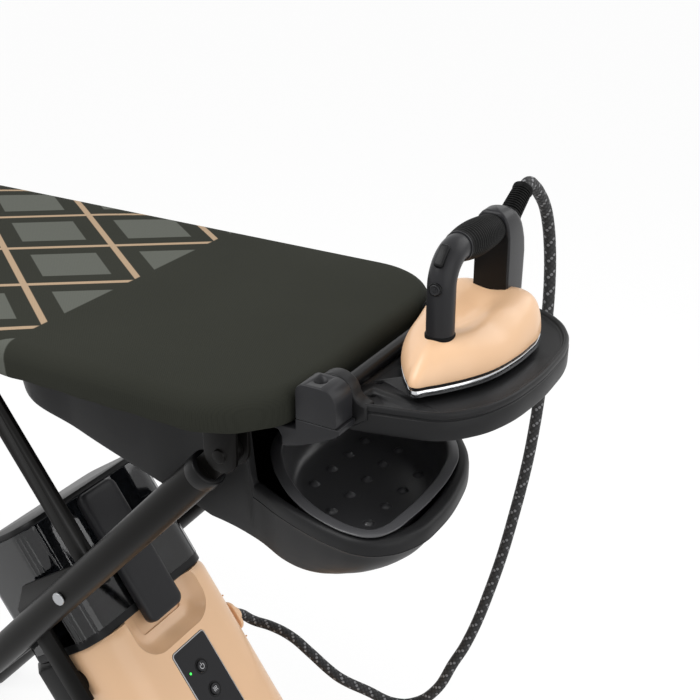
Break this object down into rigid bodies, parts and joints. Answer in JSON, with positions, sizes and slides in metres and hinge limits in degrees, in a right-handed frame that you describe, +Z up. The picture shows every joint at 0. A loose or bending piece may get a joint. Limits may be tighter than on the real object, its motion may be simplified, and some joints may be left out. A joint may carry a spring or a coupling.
{
  "type": "vacuum ironing table",
  "caption": "Folding ironing board with vacuum housing, swing-up iron rest, steam iron on a hose, and a wheeled steam generator with a lift-out tank in its legs.",
  "frame": {"origin": "on the floor, under the middle of the table's length and width (hose left out)", "axes": "+Z up, +X along the board from its rounded nose to the iron's end, +Y away from the side the power button faces when seen from the front"},
  "size_m": [1.367, 0.4831, 1.0623],
  "materials": {
    "cover_cloth": "woven cotton, printed",
    "felt": "felt",
    "plain_steel": "bare",
    "black_paint": "satin powder coat",
    "charcoal_plastic": "fine satin",
    "tray_plastic": "satin",
    "tan_shell": "satin",
    "black_plastic": "satin",
    "black_rubber": "matt",
    "clear_plastic": "clear, smoke grey",
    "bright_chrome": "polished",
    "circuit_green": "lacquered card",
    "hose_braid": "braided sleeve"
  },
  "bodies": {
    "board": {"board_cover": "cover_cloth", "board_pad": "felt", "perforated_deck": "plain_steel", "board_pan": "black_paint", "vacuum_housing": "charcoal_plastic", "iron_tray": "tray_plastic", "fan_duct": "black_plastic", "fan_motor": "plain_steel", "rest_pin": "plain_steel", "rest_cap_front": "charcoal_plastic", "rest_cap_back": "charcoal_plastic", "rest_base": "charcoal_plastic", "leg_bracket_front": "black_paint", "leg_bracket_back": "black_paint", "slide_rail_front": "black_paint", "slide_rail_back": "black_paint", "height_rack": "plain_steel", "hose_loop": "hose_braid"},
    "impeller": {"fan_impeller": "black_plastic"},
    "rest": {"iron_rest": "charcoal_plastic", "hose_drop": "hose_braid"},
    "iron": {"soleplate": "bright_chrome", "iron_shell": "tan_shell", "handle": "charcoal_plastic", "grip_sleeve": "black_rubber", "handle_heel": "charcoal_plastic", "hose_relief": "black_rubber", "hose_upper": "hose_braid"},
    "iron_steam_key": {"steam_key": "charcoal_plastic"},
    "iron_thumb_key": {"thumb_key": "charcoal_plastic"},
    "iron_trigger": {"steam_trigger": "charcoal_plastic"},
    "lever": {"height_lever": "black_plastic"},
    "leg_a": {"leg_tube_front": "black_paint", "leg_tube_back": "black_paint", "cross_bolt_front": "plain_steel", "cross_bolt_back": "plain_steel", "foot_bar": "black_paint", "foot_cap_front": "black_rubber", "foot_cap_back": "black_rubber", "leg_stay": "black_paint"},
    "leg_b": {"carrier_front": "black_paint", "carrier_back": "black_paint", "slide_bar": "plain_steel", "generator_front": "tan_shell", "generator_back": "charcoal_plastic", "control_panel": "charcoal_plastic", "circuit_board": "circuit_green", "boiler": "plain_steel", "water_pump": "black_plastic", "hose_socket": "tan_shell", "mains_gland": "black_rubber", "wheel_axle": "plain_steel", "hose_lower": "hose_braid"},
    "wheel_near": {"wheel_front": "black_rubber"},
    "wheel_far": {"wheel_back": "black_rubber"},
    "power_key": {"power_button": "charcoal_plastic"},
    "mode_key": {"mode_button": "charcoal_plastic"},
    "tank": {"water_tank": "clear_plastic", "tank_handle": "charcoal_plastic"},
    "lid": {"tank_lid": "charcoal_plastic"}
  },
  "joints": [
    {"name": "fold", "type": "hinge", "parent": "board", "child": "leg_a", "pos_m": [0.4465, 0, 0.85978], "axis": [0, 1, 0], "range_deg": [-3, 39], "deforming": ["hose_upper", "hose_drop", "hose_loop", "hose_lower"]},
    {"name": "crossing", "type": "hinge", "parent": "leg_a", "child": "leg_b", "pos_m": [0.21633, 0, 0.61295], "axis": [0, 1, 0], "range_deg": [-86, 7], "deforming": ["hose_upper", "hose_drop", "hose_loop", "hose_lower"]},
    {"name": "rest_fold", "type": "hinge", "parent": "board", "child": "rest", "pos_m": [0.5335, 0, 0.91778], "axis": [0, -1, 0], "range_deg": [0, 80], "deforming": ["hose_upper", "hose_drop", "hose_loop", "hose_lower"]},
    {"name": "iron_lift", "type": "slide", "parent": "rest", "child": "iron", "axis": [0, 0, 1], "range_m": [0, 0.05], "deforming": ["hose_upper", "hose_drop", "hose_loop", "hose_lower"]},
    {"name": "fan_spin", "type": "hinge", "parent": "board", "child": "impeller", "pos_m": [0.2615, 0, 0.84978], "axis": [0, 0, 1], "continuous": true},
    {"name": "lever_lift", "type": "hinge", "parent": "board", "child": "lever", "pos_m": [-0.2805, -0.062, 0.87128], "axis": [-1, 0, 0], "range_deg": [0, 7], "stiffness_Nm_per_rad": 1, "springref_deg": -5.73},
    {"name": "wheel_near_spin", "type": "hinge", "parent": "leg_b", "child": "wheel_near", "pos_m": [0.42186, -0.138, 0.05983], "axis": [0, 1, 0], "continuous": true},
    {"name": "wheel_far_spin", "type": "hinge", "parent": "leg_b", "child": "wheel_far", "pos_m": [0.42186, 0.138, 0.05983], "axis": [0, 1, 0], "continuous": true},
    {"name": "tank_pull", "type": "slide", "parent": "leg_b", "child": "tank", "axis": [-0.5678, 0, 0.8231], "range_m": [0, 0.095]},
    {"name": "lid_open", "type": "hinge", "parent": "tank", "child": "lid", "pos_m": [0.09883, 0, 0.62301], "axis": [0, 1, 0], "range_deg": [0, 80]},
    {"name": "power_press", "type": "slide", "parent": "leg_b", "child": "power_key", "axis": [-0.8231, 0, -0.5678], "range_m": [0, 0.0015], "stiffness_N_per_m": 400, "springref_m": -0.0006},
    {"name": "mode_press", "type": "slide", "parent": "leg_b", "child": "mode_key", "axis": [-0.8231, 0, -0.5678], "range_m": [0, 0.0015], "stiffness_N_per_m": 400, "springref_m": -0.0006},
    {"name": "steam_key_press", "type": "slide", "parent": "iron", "child": "iron_steam_key", "axis": [0, 1, 0], "range_m": [0, 0.0015], "stiffness_N_per_m": 400, "springref_m": -0.0006},
    {"name": "thumb_key_press", "type": "slide", "parent": "iron", "child": "iron_thumb_key", "axis": [0, 0.7071, -0.7071], "range_m": [0, 0.0015], "stiffness_N_per_m": 400, "springref_m": -0.0006},
    {"name": "trigger_pull", "type": "slide", "parent": "iron", "child": "iron_trigger", "axis": [0, -0.7071, 0.7071], "range_m": [0, 0.003], "stiffness_N_per_m": 300, "springref_m": -0.001}
  ],
  "couplings": [
    {"joint": "crossing", "follows": "fold", "ratio": -2.19}
  ]
}
